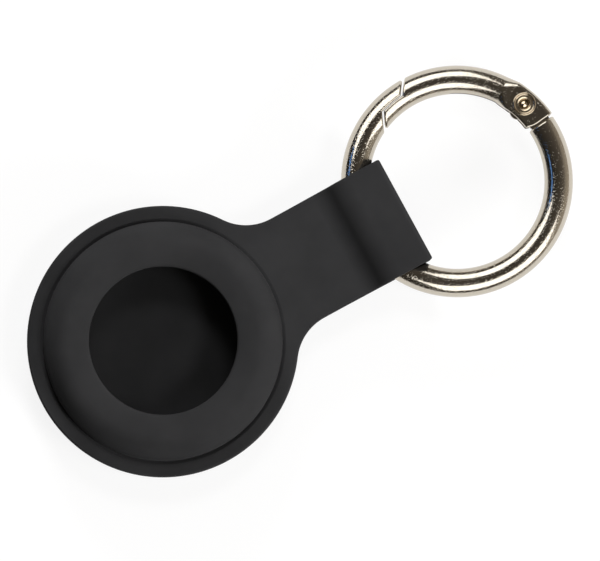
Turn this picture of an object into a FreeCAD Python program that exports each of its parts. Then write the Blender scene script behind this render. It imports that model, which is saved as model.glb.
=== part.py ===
import FreeCAD, Part
import math
import os
import Sketcher
from FreeCAD import Placement, Rotation, Vector

# Tracker tag holder: a one-piece silicone pocket and strap, hung on a spring gate ring.
# Millimetres. The origin is on the pocket's axis, on the flat back face. +X runs along the
# strap towards the ring and +Z points out of the window.

doc = FreeCAD.newDocument("TrackerTagHolder")

# Driving dimensions: alias, value, meaning.
SIZES = (
    ("pocket_dia", 32.0, "inside width of the pocket, a coin tag of 31.9 and a snug fit"),
    ("pocket_height", 8.2, "inside height of the pocket, a tag 8.0 high"),
    ("pocket_wall", 1.3, "silicone wall round the pocket"),
    ("shoulder_radius", 3.8, "outer rounding of the domes"),
    ("window_dia", 21.1, "opening in the front wall"),
    ("window_round", 0.35, "rounding of the window's edges"),
    ("rim_dia", 38.8, "flat rim round the domes"),
    ("sheet_thick", 2.8, "thickness of the rim and the strap"),
    ("edge_round", 0.3, "rounding of the outer edges"),
    ("crease_round", 0.25, "fillet where a dome meets the rim"),
    ("strap_width", 16.1, "width of the strap"),
    ("strap_root", 7.4, "fillet between the rim and the strap"),
    ("sleeve_end", 39.4, "from the pocket's axis to the end of the sleeve"),
    ("sleeve_wall", 0.95, "silicone between the tunnel and the sleeve's free end"),
    ("sleeve_roof", 1.58, "silicone above and below the tunnel"),
    ("sleeve_hump", 4.6, "rounding of the sleeve towards the pocket"),
    ("crest_setback", 1.1, "from the tunnel's inner round to the sleeve's crest"),
    ("valley_round", 4.0, "fillet between the strap and the sleeve"),
    ("end_round", 0.7, "rounding of the sleeve's free end"),
    ("mouth_round", 0.25, "rounding of the tunnel's mouths"),
    ("ring_clearance", 0.22, "room round the wire in the tunnel"),
    ("ring_inner_dia", 25.0, "clear width of the ring"),
    ("wire_dia", 4.1, "thickness of the ring"),
    ("hinge_angle", 20.4, "where the rivet sits on the ring, from the strap's axis"),
    ("seam_angle", 5.9, "where the body ends and the gate begins"),
    ("seam_gap", 0.25, "gap between the gate's heel and the body"),
    ("lap_from", 94.7, "where the nose lap begins on the ring"),
    ("lap_to", 108.4, "where the nose lap ends on the ring"),
    ("lap_gap", 0.1, "gap between the long faces of the nose lap"),
    ("nose_gap", 0.25, "gap at each end of the nose lap"),
    ("edge_break", 0.26, "rounding of the ring's edges at the nose and the hinge seam"),
    ("hinge_width", 4.3, "radial width of the gate's hinge block"),
    ("hinge_flat", 3.8, "thickness across the flats of the hinge block"),
    ("hinge_corner", 0.4, "rounding of the hinge block's inner long edges"),
    ("hinge_round", 0.85, "rounding of the hinge block's outer long edges"),
    ("hinge_reach", 8.7, "angle that the hinge block runs past the rivet"),
    ("blend_angle", 6.0, "angle over which the block blends into the round wire"),
    ("blend_flat", 0.1, "flats left where the blend meets the round wire"),
    ("tongue_thick", 2.0, "thickness of the body's hinge tongue"),
    ("tongue_gap", 0.1, "clearance at each side of the tongue"),
    ("tongue_inside", 0.8, "from the wire's middle to the tongue's inner edge at its root"),
    ("tongue_web", 0.75, "tongue left above the spring's seat"),
    ("knuckle_radius", 1.9, "round end of the tongue"),
    ("lug_radius", 1.2, "round stop lug on the inside of the tongue"),
    ("lug_reach", 0.45, "how far the lug stands inside the ring"),
    ("fork_clearance", 0.15, "room between the lug and the root of the fork"),
    ("channel_width", 1.25, "spring channel along the inside of the gate"),
    ("channel_web", 1.0, "wall left outside the spring channel"),
    ("channel_end", 66.0, "where the spring channel ends on the ring"),
    ("rivet_dia", 1.4, "rivet shank"),
    ("rivet_clearance", 0.05, "running clearance of the tongue on the rivet"),
    ("rivet_head_dia", 3.3, "both heads of the rivet"),
    ("rivet_dome", 0.4, "height of the rear head"),
    ("rivet_rim", 0.22, "height of the clinched rim"),
    ("rivet_bore_dia", 1.1, "hollow end of the rivet"),
    ("spring_wire", 0.3, "wire of the torsion spring"),
    ("coil_clearance", 0.15, "room inside and outside the coil"),
    ("coil_pitch", 0.39, "rise of the coil in one turn"),
    ("coil_turns", 2, "whole turns of the coil"),
    ("fixed_leg", 2.0, "leg held in the tongue"),
    ("fixed_leg_angle", -25.0, "where the fixed leg leaves the coil"),
    ("gate_leg", 7.0, "leg that presses on the gate"),
    ("leg_clearance", 0.08, "room between the spring's legs and their seats"),
)

sheet = doc.addObject("Spreadsheet::Sheet", "Sizes")
for row, (alias, value, meaning) in enumerate(SIZES, start=1):
    sheet.set(f"A{row}", meaning)
    sheet.set(f"B{row}", str(value))
    sheet.setAlias(f"B{row}", alias)
doc.recompute()

# Expressions that several pieces share.
MID = "(Sizes.pocket_height / 2 + Sizes.pocket_wall)"
HALF_SHEET = "(Sizes.sheet_thick / 2)"
HALF_STRAP = "(Sizes.strap_width / 2)"
DOME_RADIUS = "(Sizes.pocket_dia / 2 + Sizes.pocket_wall)"
WIRE_RADIUS = "(Sizes.wire_dia / 2)"
RING_RADIUS = "((Sizes.ring_inner_dia + Sizes.wire_dia) / 2)"
RING_INSIDE = "(Sizes.ring_inner_dia / 2)"
RING_OUTSIDE = "(Sizes.ring_inner_dia / 2 + Sizes.wire_dia)"

# The straight tunnel is long enough for the curved wire: it touches the wire's outer edge in
# the middle and its inner edge at the mouths, each with the same clearance.
TUNNEL_HALF = f"({WIRE_RADIUS} + Sizes.ring_clearance)"
TUNNEL_END = "(Sizes.sleeve_end - Sizes.sleeve_wall)"
MOUTH_HALF = f"({HALF_STRAP} - Sizes.mouth_round / 2)"
RING_X = f"({TUNNEL_END} - Sizes.ring_clearance + sqrt({RING_INSIDE}^2 - {MOUTH_HALF}^2))"
TUNNEL_START = f"({RING_X} - {RING_OUTSIDE} - Sizes.ring_clearance)"
CREST = f"({TUNNEL_HALF} + Sizes.sleeve_roof)"
CREST_X = f"({TUNNEL_START} + {TUNNEL_HALF} + Sizes.crest_setback)"

# The gate's end faces are arcs about the rivet, so the gate leaves the nose with a steady gap.
LAP_NEAR = f"(2 * {RING_RADIUS} * sin((Sizes.lap_from - Sizes.hinge_angle) / 2))"
LAP_FAR = f"(2 * {RING_RADIUS} * sin((Sizes.lap_to - Sizes.hinge_angle) / 2))"
HALF_GAP = "(Sizes.nose_gap / 2)"
HALF_LAP = "(Sizes.lap_gap / 2)"
HINGE_SPAN = "(Sizes.hinge_angle - Sizes.seam_angle)"
HEEL_SPAN = f"({HINGE_SPAN} - Sizes.seam_gap / {RING_RADIUS} * 180 / pi)"
HEEL_RADIUS = f"({RING_RADIUS} * sin({HEEL_SPAN}))"
HALF_TONGUE = "(Sizes.tongue_thick / 2)"
LUG_TIP = f"({WIRE_RADIUS} + Sizes.lug_reach)"
FORK_RADIUS = f"({LUG_TIP} + Sizes.fork_clearance)"
CHANNEL_FLOOR = f"({RING_OUTSIDE} - Sizes.channel_web)"
COIL_RADIUS = "(Sizes.rivet_dia / 2 + Sizes.coil_clearance + Sizes.spring_wire / 2)"
SEAT_RADIUS = f"({COIL_RADIUS} + Sizes.spring_wire / 2 + Sizes.coil_clearance)"
SEAT_TOP = f"({HALF_TONGUE} - Sizes.tongue_web)"
FIXED_LEG_HEIGHT = f"(-{HALF_TONGUE} + Sizes.leg_clearance + Sizes.spring_wire / 2)"

# Angles that only have to reach past a cut.
LAP_MARGIN = 14
NOSE_BACK = f"(Sizes.lap_to + 2 * {LAP_MARGIN})"

TOLERANCE = 1e-4


def number(expression):
    """The value of an expression over the sheet."""
    value = sheet.evalExpression(expression)
    return float(getattr(value, "Value", value))


def new_body(name):
    body = doc.addObject("PartDesign::Body", name)
    body.Label = name
    return body


def place(body, x, y, z):
    """Bind a body's place to the sheet."""
    for axis, expression in (("x", x), ("y", y), ("z", z)):
        body.setExpression(f"Placement.Base.{axis}", expression)


def new_sketch(body, name, role, turn=None, height=None):
    """A sketch on one of the body's own planes, turned about Z or lifted if asked."""
    plane = next(item for item in body.Origin.OriginFeatures if item.Role == role)
    sketch = body.newObject("Sketcher::SketchObject", name)
    sketch.AttachmentSupport = (plane, "")
    sketch.MapMode = "FlatFace"
    if turn is not None:
        axis = Vector(0, 0, 1) if role == "XY_Plane" else Vector(0, 1, 0)
        sketch.AttachmentOffset = Placement(Vector(), Rotation(axis, number(turn)))
        sketch.setExpression(".AttachmentOffset.Rotation.Angle", turn)
    if height is not None:
        sketch.setExpression(".AttachmentOffset.Base.z", height)
    return sketch


def fix(sketch, kind, expression, *where):
    """Add a dimension and bind it to the sheet."""
    index = sketch.addConstraint(Sketcher.Constraint(kind, *where, number(expression)))
    sketch.setExpression(f"Constraints[{index}]", expression)


def fix_point(sketch, geometry, end, x, y):
    """Hold a point of the sketch at (x, y); a plain 0 puts it on the axis."""
    for kind, expression, axis in (("DistanceX", x, -2), ("DistanceY", y, -1)):
        if expression == "0":
            sketch.addConstraint(Sketcher.Constraint("PointOnObject", geometry, end, axis))
        else:
            fix(sketch, kind, expression, -1, 1, geometry, end)


def draw_circle(sketch, x, y, radius):
    centre = Vector(number(x), number(y), 0)
    circle = sketch.addGeometry(Part.Circle(centre, Vector(0, 0, 1), number(radius)))
    fix_point(sketch, circle, 3, x, y)
    fix(sketch, "Radius", radius, circle)


def draw_outline(sketch, corners):
    """A closed outline. Each corner is (x, y) or (x, y, radius, side): the edge that leaves it
    is a line, or an arc under half a circle with its centre on the left (1) or right (-1)."""
    spots = [Vector(number(corner[0]), number(corner[1]), 0) for corner in corners]
    ends = []
    for index, corner in enumerate(corners):
        start = spots[index]
        stop = spots[(index + 1) % len(spots)]
        if len(corner) == 2:
            edge = sketch.addGeometry(Part.LineSegment(start, stop))
            ends.append((edge, 1, 2))
            continue
        radius = number(corner[2])
        side = corner[3]
        chord = stop - start
        to_centre = math.sqrt(radius**2 - (chord.Length / 2) ** 2) * side
        centre = (start + stop) / 2 + Vector(-chord.y, chord.x, 0) / chord.Length * to_centre
        first, last = (start, stop) if side > 0 else (stop, start)
        angles = [math.atan2(spot.y - centre.y, spot.x - centre.x) for spot in (first, last)]
        circle = Part.Circle(centre, Vector(0, 0, 1), radius)
        edge = sketch.addGeometry(Part.ArcOfCircle(circle, *angles))
        ends.append((edge, 1, 2) if side > 0 else (edge, 2, 1))
    for index, corner in enumerate(corners):
        edge, start, _ = ends[index]
        before, _, stop = ends[index - 1]
        sketch.addConstraint(Sketcher.Constraint("Coincident", before, stop, edge, start))
        fix_point(sketch, edge, start, corner[0], corner[1])
        if len(corner) > 2:
            fix(sketch, "Radius", corner[2], edge)


def extrude(body, sketch, kind, length):
    """A Pad or Pocket, half to each side of the sketch."""
    feature = body.newObject(f"PartDesign::{kind}", f"{kind}_{sketch.Name}")
    feature.Profile = sketch
    feature.SideType = "Symmetric"
    feature.setExpression("Length", length)
    return feature


def revolve(body, sketch, kind="Revolution", angle="360"):
    """A Revolution or Groove about the sketch's upright axis."""
    feature = body.newObject(f"PartDesign::{kind}", f"{kind}_{sketch.Name}")
    feature.Profile = sketch
    feature.ReferenceAxis = (sketch, ["V_Axis"])
    feature.setExpression("Angle", angle)
    return feature


def round_edges(body, name, radius, chosen):
    """Fillet every edge of the body that the test picks."""
    doc.recompute()
    base = body.Tip
    edges = [f"Edge{i}" for i, edge in enumerate(base.Shape.Edges, start=1) if chosen(edge)]
    feature = body.newObject("PartDesign::Fillet", name)
    feature.Base = (base, edges)
    feature.setExpression("Radius", radius)
    return feature


def near(value, expression):
    return abs(value - number(expression)) < TOLERANCE


def runs_along(edge, axis):
    """True for a straight edge that is parallel to X, Y or Z."""
    lengths = {"X": edge.BoundBox.XLength, "Y": edge.BoundBox.YLength, "Z": edge.BoundBox.ZLength}
    return lengths.pop(axis) > TOLERANCE and max(lengths.values()) < TOLERANCE


def is_circle(edge, radius, *heights):
    """True for a level circle of that radius at one of the heights."""
    curve = edge.Curve
    if not isinstance(curve, Part.Circle) or edge.BoundBox.ZLength > TOLERANCE:
        return False
    return near(curve.Radius, radius) and any(near(curve.Center.z, h) for h in heights)


# The holder is one silicone moulding: rim and strap, sleeve, two domes, pocket and window.
holder = new_body("holder")

sketch = new_sketch(holder, "RimPlan", "XY_Plane", height=MID)
draw_circle(sketch, "0", "0", "Sizes.rim_dia / 2")
extrude(holder, sketch, "Pad", "Sizes.sheet_thick")

sketch = new_sketch(holder, "StrapSide", "XZ_Plane")
draw_outline(sketch, (
    ("0", f"{MID} - {HALF_SHEET}"),
    (CREST_X, f"{MID} - {HALF_SHEET}"),
    (CREST_X, f"{MID} + {HALF_SHEET}"),
    ("0", f"{MID} + {HALF_SHEET}"),
))
extrude(holder, sketch, "Pad", "Sizes.strap_width")

# The sleeve's hump rises from the strap on two arcs that meet inside the strap.
HUMP_TIP = f"{CREST_X} - sqrt({CREST} * (2 * Sizes.sleeve_hump - {CREST}))"
sketch = new_sketch(holder, "SleeveSide", "XZ_Plane")
draw_outline(sketch, (
    (HUMP_TIP, MID, "Sizes.sleeve_hump", 1),
    (CREST_X, f"{MID} - {CREST}"),
    ("Sizes.sleeve_end", f"{MID} - {CREST}"),
    ("Sizes.sleeve_end", f"{MID} + {CREST}"),
    (CREST_X, f"{MID} + {CREST}", "Sizes.sleeve_hump", 1),
))
extrude(holder, sketch, "Pad", "Sizes.strap_width")


def is_strap_root(edge):
    return runs_along(edge, "Z") and edge.BoundBox.XMax < number(CREST_X)


def is_valley(edge):
    at_sheet = any(near(edge.BoundBox.ZMin, f"{MID} {sign} {HALF_SHEET}") for sign in "+-")
    return runs_along(edge, "Y") and at_sheet


def is_sleeve_end(edge):
    return runs_along(edge, "Y") and near(edge.BoundBox.XMin, "Sizes.sleeve_end")


round_edges(holder, "StrapRoots", "Sizes.strap_root", is_strap_root)
round_edges(holder, "Valleys", "Sizes.valley_round", is_valley)
round_edges(holder, "SleeveEnd", "Sizes.end_round", is_sleeve_end)
doc.recompute()


def is_upright_cylinder(face):
    return isinstance(face.Surface, Part.Cylinder) and abs(face.Surface.Axis.z) > 1 - TOLERANCE


def is_upright_wall(face):
    """The rim's wall, the strap's roots and the two long sides."""
    flat = isinstance(face.Surface, Part.Plane)
    return is_upright_cylinder(face) or flat and abs(face.Surface.Axis.y) > 1 - TOLERANCE


walls = [face for face in holder.Tip.Shape.Faces if is_upright_wall(face)]


def is_outer_edge(edge):
    return sum(any(edge.isSame(side) for side in wall.Edges) for wall in walls) == 1


round_edges(holder, "OuterEdges", "Sizes.edge_round", is_outer_edge)

# Both domes together are one flat pill with rounded shoulders.
THICKNESS = f"(2 * {MID})"
sketch = new_sketch(holder, "DomeSection", "XZ_Plane")
draw_outline(sketch, (
    ("0", "0"),
    (f"{DOME_RADIUS} - Sizes.shoulder_radius", "0", "Sizes.shoulder_radius", 1),
    (DOME_RADIUS, "Sizes.shoulder_radius"),
    (DOME_RADIUS, f"{THICKNESS} - Sizes.shoulder_radius", "Sizes.shoulder_radius", 1),
    (f"{DOME_RADIUS} - Sizes.shoulder_radius", THICKNESS),
    ("0", THICKNESS),
))
revolve(holder, sketch)
round_edges(holder, "Creases", "Sizes.crease_round", lambda edge: is_circle(
    edge, DOME_RADIUS, f"{MID} - {HALF_SHEET}", f"{MID} + {HALF_SHEET}"))

# The pocket keeps the same wall all round, so its shoulders share the domes' centres.
INNER_SHOULDER = "(Sizes.shoulder_radius - Sizes.pocket_wall)"
POCKET_TOP = "(Sizes.pocket_wall + Sizes.pocket_height)"
sketch = new_sketch(holder, "PocketSection", "XZ_Plane")
draw_outline(sketch, (
    ("0", "Sizes.pocket_wall"),
    (f"Sizes.pocket_dia / 2 - {INNER_SHOULDER}", "Sizes.pocket_wall", INNER_SHOULDER, 1),
    ("Sizes.pocket_dia / 2", f"Sizes.pocket_wall + {INNER_SHOULDER}"),
    ("Sizes.pocket_dia / 2", f"{POCKET_TOP} - {INNER_SHOULDER}", INNER_SHOULDER, 1),
    (f"Sizes.pocket_dia / 2 - {INNER_SHOULDER}", POCKET_TOP),
    ("0", POCKET_TOP),
))
revolve(holder, sketch, "Groove")

sketch = new_sketch(holder, "WindowPlan", "XY_Plane", height=THICKNESS)
draw_circle(sketch, "0", "0", "Sizes.window_dia / 2")
extrude(holder, sketch, "Pocket", "Sizes.pocket_height")
round_edges(holder, "WindowEdges", "Sizes.window_round", lambda edge: is_circle(
    edge, "Sizes.window_dia / 2", POCKET_TOP, THICKNESS))

# The tunnel through the sleeve takes the ring's wire.
NEAR_ROUND = f"{TUNNEL_START} + {TUNNEL_HALF}"
FAR_ROUND = f"{TUNNEL_END} - {TUNNEL_HALF}"
sketch = new_sketch(holder, "TunnelSide", "XZ_Plane")
draw_outline(sketch, (
    (NEAR_ROUND, f"{MID} - {TUNNEL_HALF}"),
    (FAR_ROUND, f"{MID} - {TUNNEL_HALF}", TUNNEL_HALF, 1),
    (TUNNEL_END, MID, TUNNEL_HALF, 1),
    (FAR_ROUND, f"{MID} + {TUNNEL_HALF}"),
    (NEAR_ROUND, f"{MID} + {TUNNEL_HALF}", TUNNEL_HALF, 1),
    (TUNNEL_START, MID, TUNNEL_HALF, 1),
))
extrude(holder, sketch, "Pocket", "2 * Sizes.strap_width")


def is_mouth(edge):
    box = edge.BoundBox
    return (
        box.YLength < TOLERANCE
        and near(abs(box.YMin), HALF_STRAP)
        and box.XMin > number(TUNNEL_START) - TOLERANCE
        and box.XMax < number(TUNNEL_END) + TOLERANCE
        and box.ZMax < number(f"{MID} + {TUNNEL_HALF}") + TOLERANCE
        and box.ZMin > number(f"{MID} - {TUNNEL_HALF}") - TOLERANCE
    )


round_edges(holder, "Mouths", "Sizes.mouth_round", is_mouth)


# The ring's pieces are drawn about the ring's centre, in the ring's middle plane.
def wire_arc(body, name, start, stop):
    """A stretch of the round wire between two angles."""
    section = new_sketch(body, name, "XZ_Plane", turn=start)
    draw_circle(section, RING_RADIUS, "0", WIRE_RADIUS)
    revolve(body, section, angle=f"{stop} - {start}")


def lap_lip(body, name, start, stop, outwards):
    """Half of the wire's section, outside or inside the lap face."""
    section = new_sketch(body, name, "XZ_Plane", turn=start)
    sign = "+" if outwards else "-"
    half_height = f"sqrt({WIRE_RADIUS}^2 - {HALF_LAP}^2)"
    face = f"{RING_RADIUS} {sign} {HALF_LAP}"
    draw_outline(section, (
        (face, f"-{half_height}", WIRE_RADIUS, 1 if outwards else -1),
        (face, half_height),
    ))
    revolve(body, section, angle=f"{stop} - {start}")


def rivet_circle(body, name, radius, around=None):
    """Cut everything inside a circle about the rivet, or outside it as far as another."""
    plan = new_sketch(body, name, "XY_Plane", turn="Sizes.hinge_angle")
    draw_circle(plan, RING_RADIUS, "0", radius)
    if around is not None:
        draw_circle(plan, RING_RADIUS, "0", around)
    extrude(body, plan, "Pocket", "2 * Sizes.wire_dia")


def sides_of(shape, edge):
    """The faces that meet at an edge."""
    return [face for face in shape.Faces if any(edge.isSame(side) for side in face.Edges)]


def break_nose(body):
    """Round the edges where the lap's upright faces cut the round wire."""
    doc.recompute()
    shape = body.Tip.Shape

    def is_nose_edge(edge):
        cut = [is_upright_cylinder(face) for face in sides_of(shape, edge)]
        wire = [isinstance(face.Surface, Part.Toroid) for face in sides_of(shape, edge)]
        return any(cut) and any(wire)

    round_edges(body, "NoseBreak", "Sizes.edge_break", is_nose_edge)


# The ring's body is a casting: a C of round wire with the outer nose lip and the hinge tongue.
ring_body = new_body("ring_body")
LIP_FROM = f"(Sizes.lap_from - {LAP_MARGIN})"
LIP_TO = f"(Sizes.lap_to + {LAP_MARGIN})"
wire_arc(ring_body, "NoseWire", "Sizes.lap_from", NOSE_BACK)
rivet_circle(ring_body, "NoseInside", f"{LAP_FAR} + {HALF_GAP}")
lap_lip(ring_body, "OuterLip", LIP_FROM, LIP_TO, True)
rivet_circle(ring_body, "NoseOutside", f"{LAP_NEAR} + {HALF_GAP}")
break_nose(ring_body)
wire_arc(ring_body, "MainWire", NOSE_BACK, "(360 + Sizes.seam_angle)")


def is_seam(edge):
    """The rim of the wire's flat end, whose plane passes through the ring's centre."""
    curve = edge.Curve
    if not isinstance(curve, Part.Circle) or not near(curve.Radius, WIRE_RADIUS):
        return False
    return near(math.degrees(math.atan2(curve.Center.y, curve.Center.x)), "Sizes.seam_angle")


round_edges(ring_body, "SeamBreak", "Sizes.edge_break", is_seam)

# The tongue's root is buried in the wire, one wire radius past the seam. On its outer side it
# runs just under the wire's skin, so that the seam stays closed.
TONGUE_ROOT = f"({RING_RADIUS} * sin({HINGE_SPAN}) + {WIRE_RADIUS})"
ROOT_X = f"sqrt({RING_RADIUS}^2 - {TONGUE_ROOT}^2)"
TONGUE_OUTSIDE = f"(sqrt({WIRE_RADIUS}^2 - {HALF_TONGUE}^2) - Sizes.edge_break / 2)"
LUG_BACK = f"({LUG_TIP} - Sizes.lug_radius)"
LEAN = f"((Sizes.knuckle_radius - Sizes.lug_radius) / {LUG_BACK})"
RISE = f"sqrt(1 - {LEAN}^2)"
LUG_X = f"{RING_RADIUS} - {LUG_BACK} - Sizes.lug_radius * {LEAN}"
sketch = new_sketch(ring_body, "TonguePlan", "XY_Plane", turn="Sizes.hinge_angle")
draw_outline(sketch, (
    (f"{ROOT_X} + {TONGUE_OUTSIDE}", f"-{TONGUE_ROOT}"),
    (f"{RING_RADIUS} + Sizes.knuckle_radius", "0", "Sizes.knuckle_radius", 1),
    (f"{RING_RADIUS} - Sizes.knuckle_radius * {LEAN}", f"Sizes.knuckle_radius * {RISE}"),
    (LUG_X, f"Sizes.lug_radius * {RISE}", "Sizes.lug_radius", 1),
    (LUG_X, f"-Sizes.lug_radius * {RISE}"),
    (f"{ROOT_X} - Sizes.tongue_inside", f"-{TONGUE_ROOT}"),
))
extrude(ring_body, sketch, "Pad", "Sizes.tongue_thick")
rivet_circle(ring_body, "TongueBore", "Sizes.rivet_dia / 2 + Sizes.rivet_clearance")


def cut_down(body, plan):
    """Cut from the sketch's level down through the tongue's lower face."""
    feature = extrude(body, plan, "Pocket", "Sizes.tongue_thick")
    feature.SideType = "One side"


# The coil's seat is sunk into the tongue from below and open towards the gate.
sketch = new_sketch(ring_body, "CoilSeat", "XY_Plane", turn="Sizes.hinge_angle", height=SEAT_TOP)
draw_outline(sketch, (
    (f"{RING_RADIUS} - {SEAT_RADIUS}", "0", SEAT_RADIUS, 1),
    (RING_RADIUS, f"-{SEAT_RADIUS}", SEAT_RADIUS, 1),
    (f"{RING_RADIUS} + {SEAT_RADIUS}", "0"),
    (f"{RING_RADIUS} + {SEAT_RADIUS}", FORK_RADIUS),
    (f"{RING_RADIUS} - {SEAT_RADIUS}", FORK_RADIUS),
))
cut_down(ring_body, sketch)

# A groove holds the spring's fixed leg, which leaves the coil on a tangent.
LEG_COS = "cos(Sizes.fixed_leg_angle)"
LEG_SIN = "sin(Sizes.fixed_leg_angle)"
GROOVE_HALF = "(Sizes.spring_wire / 2 + Sizes.leg_clearance)"
GROOVE_LENGTH = "(Sizes.fixed_leg + Sizes.leg_clearance)"


def beside_leg(along, aside):
    """A point along the fixed leg and off to its outer side, about the ring's centre."""
    out = f"({COIL_RADIUS} + {aside})"
    x = f"{RING_RADIUS} + {out} * {LEG_COS} + {along} * {LEG_SIN}"
    y = f"{out} * {LEG_SIN} - {along} * {LEG_COS}"
    return x, y


GROOVE_TOP = f"({FIXED_LEG_HEIGHT} + {GROOVE_HALF})"
sketch = new_sketch(ring_body, "LegGroove", "XY_Plane", "Sizes.hinge_angle", GROOVE_TOP)
draw_outline(sketch, (
    beside_leg("0", f"-{GROOVE_HALF}"),
    beside_leg(GROOVE_LENGTH, f"-{GROOVE_HALF}"),
    beside_leg(GROOVE_LENGTH, GROOVE_HALF),
    beside_leg("0", GROOVE_HALF),
))
cut_down(ring_body, sketch)

# The gate is a casting: a fork with flat ears, a channelled arm and the inner nose lip.
gate = new_body("gate")
BLOCK_END = "(Sizes.hinge_angle + Sizes.hinge_reach)"
ROUND_FROM = f"({BLOCK_END} + Sizes.blend_angle)"
HEEL_ANGLE = f"(Sizes.hinge_angle - {HEEL_SPAN})"
wire_arc(gate, "ArmWire", ROUND_FROM, LIP_TO)
rivet_circle(gate, "ArmEnd", f"{LAP_NEAR} - {HALF_GAP}", f"2 * {LAP_FAR}")
lap_lip(gate, "InnerLip", LIP_FROM, LIP_TO, False)
rivet_circle(gate, "LipEnd", f"{LAP_FAR} - {HALF_GAP}", f"2 * {LAP_FAR}")
break_nose(gate)


def block_section(name, turn, width, height, inner, outer):
    """A rectangle across the wire's path, with its inner and its outer corners rounded."""
    section = new_sketch(gate, name, "XZ_Plane", turn=turn)
    left = f"{RING_RADIUS} - {width} / 2"
    right = f"{RING_RADIUS} + {width} / 2"
    top = f"{height} / 2"
    draw_outline(section, (
        (f"{left} + {inner}", f"-{top}"),
        (f"{right} - {outer}", f"-{top}", outer, 1),
        (right, f"-{top} + {outer}"),
        (right, f"{top} - {outer}", outer, 1),
        (f"{right} - {outer}", top),
        (f"{left} + {inner}", top, inner, 1),
        (left, f"{top} - {inner}"),
        (left, f"-{top} + {inner}", inner, 1),
    ))
    return section


BLOCK = ("Sizes.hinge_width", "Sizes.hinge_flat", "Sizes.hinge_corner", "Sizes.hinge_round")
WIRE_CORNER = f"({WIRE_RADIUS} - Sizes.blend_flat / 2)"
NEAR_WIRE = ("Sizes.wire_dia", "Sizes.wire_dia", WIRE_CORNER, WIRE_CORNER)
block = block_section("BlockEnd", BLOCK_END, *BLOCK)
blend = block_section("BlendEnd", ROUND_FROM, *NEAR_WIRE)
loft = gate.newObject("PartDesign::AdditiveLoft", "Blend")
loft.Profile = block
loft.Sections = [blend]
heel = block_section("Heel", HEEL_ANGLE, *BLOCK)
revolve(gate, heel, angle=f"{BLOCK_END} - {HEEL_ANGLE}")

# The heel's inner corner is rounded about the rivet, so it clears the body as the gate opens.
EAR_INSIDE = f"({RING_RADIUS} - Sizes.hinge_width)"
FOOT = f"({RING_RADIUS} * cos({HEEL_SPAN}))"
sketch = new_sketch(gate, "HeelCorner", "XY_Plane", turn="Sizes.hinge_angle")
draw_outline(sketch, (
    (f"{FOOT} * cos({HEEL_SPAN})", f"-{FOOT} * sin({HEEL_SPAN})", HEEL_RADIUS, -1),
    (f"{RING_RADIUS} - {HEEL_RADIUS}", "0"),
    (EAR_INSIDE, "0"),
    (EAR_INSIDE, f"-{EAR_INSIDE} * tan({HEEL_SPAN})"),
))
extrude(gate, sketch, "Pocket", "2 * Sizes.wire_dia")

doc.recompute()
heel_shape = gate.Tip.Shape


def is_heel_face(face):
    """The flat heel, whose plane passes through the ring's centre, and its rounded corner."""
    surface = face.Surface
    if is_upright_cylinder(face):
        return near(surface.Radius, HEEL_RADIUS)
    if not isinstance(surface, Part.Plane) or abs(surface.Axis.z) > TOLERANCE:
        return False
    facing = math.degrees(math.atan2(-surface.Axis.x, surface.Axis.y)) % 180
    return near(facing, HEEL_ANGLE)


def is_heel_edge(edge):
    return sum(is_heel_face(face) for face in sides_of(heel_shape, edge)) == 1


round_edges(gate, "HeelBreak", "Sizes.edge_break", is_heel_edge)

# The fork's slot passes the tongue and gives the lug room to swing.
SLOT_HALF = "(Sizes.hinge_width / 2 + Sizes.fork_clearance)"
SLOT_SIDE = f"sqrt({FORK_RADIUS}^2 - {SLOT_HALF}^2)"
sketch = new_sketch(gate, "ForkPlan", "XY_Plane", turn="Sizes.hinge_angle")
draw_outline(sketch, (
    (f"{RING_RADIUS} - {SLOT_HALF} - {WIRE_RADIUS}", f"-{TONGUE_ROOT}"),
    (f"{RING_RADIUS} + {SLOT_HALF}", f"-{TONGUE_ROOT}"),
    (f"{RING_RADIUS} + {SLOT_HALF}", SLOT_SIDE, FORK_RADIUS, 1),
    (f"{RING_RADIUS} - {SLOT_HALF}", SLOT_SIDE),
    (f"{RING_RADIUS} - {SLOT_HALF} - {WIRE_RADIUS}", SLOT_SIDE),
))
extrude(gate, sketch, "Pocket", "Sizes.tongue_thick + 2 * Sizes.tongue_gap")

# The spring channel is open along the inside of the arm.
CHANNEL_MOUTH = f"({RING_INSIDE} - {WIRE_RADIUS})"


def on_ring(radius, angle):
    return f"{radius} * cos({angle})", f"{radius} * sin({angle})"


sketch = new_sketch(gate, "ChannelPlan", "XY_Plane")
draw_outline(sketch, (
    on_ring(CHANNEL_MOUTH, "Sizes.hinge_angle"),
    (*on_ring(CHANNEL_FLOOR, "Sizes.hinge_angle"), CHANNEL_FLOOR, 1),
    on_ring(CHANNEL_FLOOR, "Sizes.channel_end"),
    (*on_ring(CHANNEL_MOUTH, "Sizes.channel_end"), CHANNEL_MOUTH, -1),
))
extrude(gate, sketch, "Pocket", "Sizes.channel_width")
rivet_circle(gate, "EarBores", "Sizes.rivet_dia / 2")

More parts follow.
